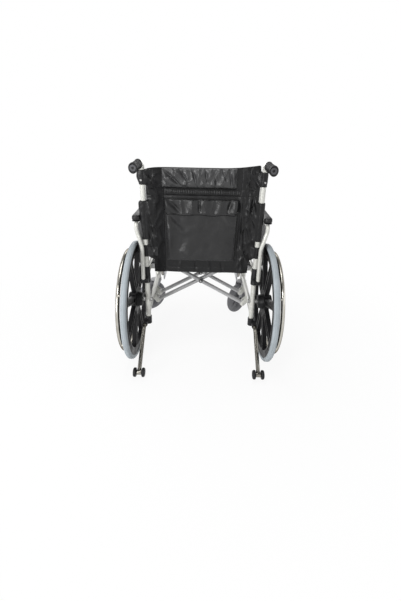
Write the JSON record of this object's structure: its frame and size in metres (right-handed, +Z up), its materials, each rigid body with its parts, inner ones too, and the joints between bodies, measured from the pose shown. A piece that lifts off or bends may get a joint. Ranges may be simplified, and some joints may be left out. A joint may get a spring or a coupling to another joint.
{
  "type": "folding wheelchair",
  "caption": "Wide folding wheelchair with cross brace, spoked rear wheels and handrims, swivel casters, flip-back armrests, anti-tip tubes and swing-away footrests.",
  "frame": {"origin": "on the floor, under the middle of the bounding box at rest; the chair's own middle plane is x = -0.01425, because the left caster stands swivelled out", "axes": "+X to the sitter's left, +Y behind the chair, +Z up"},
  "size_m": [0.7914, 1.11, 1.0194],
  "materials": {
    "silver_paint": "silver painted steel tube, satin",
    "brace_paint": "grey painted steel tube, satin",
    "chrome": "bright chrome plate on steel",
    "zinc": "zinc plated steel hardware",
    "black_nylon": "black moulded nylon, fine grain",
    "black_rubber": "black rubber, matt",
    "grey_tyre": "blue-grey solid polyurethane",
    "caster_tyre": "grey solid polyurethane",
    "caster_plastic": "light grey moulded nylon",
    "pad_vinyl": "black foam-backed vinyl, fine grain",
    "black_cloth": "black coated nylon cloth, slight sheen",
    "footplate_metal": "grey cast aluminium"
  },
  "bodies": {
    "left_frame": {"left_back_cane": "silver_paint", "left_handle_grip": "black_rubber", "left_lower_rail": "silver_paint", "left_seat_frame_rail": "silver_paint", "left_front_post": "silver_paint", "left_rear_axle": "zinc", "left_armrest_hinge": "black_nylon", "left_armrest_latch": "black_nylon", "left_brake_mount": "black_nylon", "left_anti_tip_socket": "black_nylon", "left_anti_tip_tube": "chrome", "back_upholstery": "black_cloth", "back_pocket": "black_cloth", "pocket_flap": "black_cloth"},
    "brace_a": {"cross_arm_rear_left": "brace_paint", "cross_arm_front_left": "brace_paint", "cross_bolt_rear": "zinc", "cross_bolt_front": "zinc", "right_seat_rail": "brace_paint", "seat_sling": "black_cloth"},
    "brace_b": {"cross_arm_rear_right": "brace_paint", "cross_arm_front_right": "brace_paint", "left_seat_rail": "brace_paint"},
    "right_frame": {"right_back_cane": "silver_paint", "right_handle_grip": "black_rubber", "right_lower_rail": "silver_paint", "right_seat_frame_rail": "silver_paint", "right_front_post": "silver_paint", "right_rear_axle": "zinc", "right_armrest_hinge": "black_nylon", "right_armrest_latch": "black_nylon", "right_brake_mount": "black_nylon", "right_anti_tip_socket": "black_nylon", "right_anti_tip_tube": "chrome"},
    "left_wheel": {"left_rear_wheel": "black_nylon", "left_tyre": "grey_tyre", "left_handrim": "chrome"},
    "left_caster": {"left_caster_fork": "caster_plastic"},
    "left_caster_roller": {"left_caster_wheel": "caster_plastic", "left_caster_tyre": "caster_tyre"},
    "left_armrest": {"left_armrest_frame": "silver_paint", "left_armrest_pad": "pad_vinyl", "left_side_panel": "black_nylon"},
    "left_brake": {"left_brake_lever": "zinc"},
    "left_anti_tip": {"left_anti_tip_wheels": "black_rubber"},
    "left_hanger": {"left_footrest_hanger": "chrome"},
    "left_foot": {"left_footplate": "footplate_metal"},
    "right_wheel": {"right_rear_wheel": "black_nylon", "right_tyre": "grey_tyre", "right_handrim": "chrome"},
    "right_caster": {"right_caster_fork": "caster_plastic"},
    "right_caster_roller": {"right_caster_wheel": "caster_plastic", "right_caster_tyre": "caster_tyre"},
    "right_armrest": {"right_armrest_frame": "silver_paint", "right_armrest_pad": "pad_vinyl", "right_side_panel": "black_nylon"},
    "right_brake": {"right_brake_lever": "zinc"},
    "right_anti_tip": {"right_anti_tip_wheels": "black_rubber"},
    "right_hanger": {"right_footrest_hanger": "chrome"},
    "right_foot": {"right_footplate": "footplate_metal"}
  },
  "joints": [
    {"name": "fold", "type": "hinge", "parent": "left_frame", "child": "brace_a", "pos_m": [0.23175, 0, 0.205], "axis": [0, 1, 0], "range_deg": [0, 49], "deforming": ["seat_sling", "back_upholstery", "back_pocket", "pocket_flap"]},
    {"name": "brace_pivot", "type": "hinge", "parent": "brace_a", "child": "brace_b", "pos_m": [-0.01425, 0, 0.342], "axis": [0, 1, 0], "range_deg": [-98, 0]},
    {"name": "right_frame_pivot", "type": "hinge", "parent": "brace_b", "child": "right_frame", "pos_m": [-0.26025, 0, 0.205], "axis": [0, 1, 0], "range_deg": [0, 49]},
    {"name": "left_wheel_spin", "type": "hinge", "parent": "left_frame", "child": "left_wheel", "pos_m": [0.32375, 0.25, 0.305], "axis": [1, 0, 0], "continuous": true},
    {"name": "left_caster_swivel", "type": "hinge", "parent": "left_frame", "child": "left_caster", "pos_m": [0.26775, -0.23, 0.2165], "axis": [0, 0, 1], "continuous": true},
    {"name": "left_caster_spin", "type": "hinge", "parent": "left_caster", "child": "left_caster_roller", "pos_m": [0.31035, -0.20017, 0.1], "axis": [0.5736, -0.8192, 0], "continuous": true},
    {"name": "left_armrest_flip", "type": "hinge", "parent": "left_frame", "child": "left_armrest", "pos_m": [0.27375, 0.281, 0.425], "axis": [-1, 0, 0], "range_deg": [0, 90]},
    {"name": "left_brake_turn", "type": "hinge", "parent": "left_frame", "child": "left_brake", "pos_m": [0.30675, -0.145, 0.44], "axis": [-1, 0, 0], "range_deg": [0, 14]},
    {"name": "left_anti_tip_spin", "type": "hinge", "parent": "left_frame", "child": "left_anti_tip", "pos_m": [0.27375, 0.505, 0.04], "axis": [1, 0, 0], "continuous": true},
    {"name": "left_hanger_swing", "type": "hinge", "parent": "left_frame", "child": "left_hanger", "pos_m": [0.26775, -0.265, 0.3], "axis": [0, 0, 1], "range_deg": [0, 90]},
    {"name": "left_footplate_fold", "type": "hinge", "parent": "left_hanger", "child": "left_foot", "pos_m": [0.26775, -0.525, 0.13], "axis": [0, -1, 0], "range_deg": [0, 90]},
    {"name": "right_wheel_spin", "type": "hinge", "parent": "right_frame", "child": "right_wheel", "pos_m": [-0.35225, 0.25, 0.305], "axis": [1, 0, 0], "continuous": true},
    {"name": "right_caster_swivel", "type": "hinge", "parent": "right_frame", "child": "right_caster", "pos_m": [-0.29625, -0.23, 0.2165], "axis": [0, 0, 1], "continuous": true},
    {"name": "right_caster_spin", "type": "hinge", "parent": "right_caster", "child": "right_caster_roller", "pos_m": [-0.26282, -0.19017, 0.1], "axis": [0.766, -0.6428, 0], "continuous": true},
    {"name": "right_armrest_flip", "type": "hinge", "parent": "right_frame", "child": "right_armrest", "pos_m": [-0.30225, 0.281, 0.425], "axis": [-1, 0, 0], "range_deg": [0, 90]},
    {"name": "right_brake_turn", "type": "hinge", "parent": "right_frame", "child": "right_brake", "pos_m": [-0.33525, -0.145, 0.44], "axis": [-1, 0, 0], "range_deg": [0, 14]},
    {"name": "right_anti_tip_spin", "type": "hinge", "parent": "right_frame", "child": "right_anti_tip", "pos_m": [-0.30225, 0.505, 0.04], "axis": [1, 0, 0], "continuous": true},
    {"name": "right_hanger_swing", "type": "hinge", "parent": "right_frame", "child": "right_hanger", "pos_m": [-0.29625, -0.265, 0.3], "axis": [0, 0, -1], "range_deg": [0, 90]},
    {"name": "right_footplate_fold", "type": "hinge", "parent": "right_hanger", "child": "right_foot", "pos_m": [-0.29625, -0.525, 0.13], "axis": [0, 1, 0], "range_deg": [0, 90]}
  ],
  "couplings": [
    {"joint": "brace_pivot", "follows": "fold", "ratio": -2},
    {"joint": "right_frame_pivot", "follows": "fold", "ratio": 1}
  ]
}
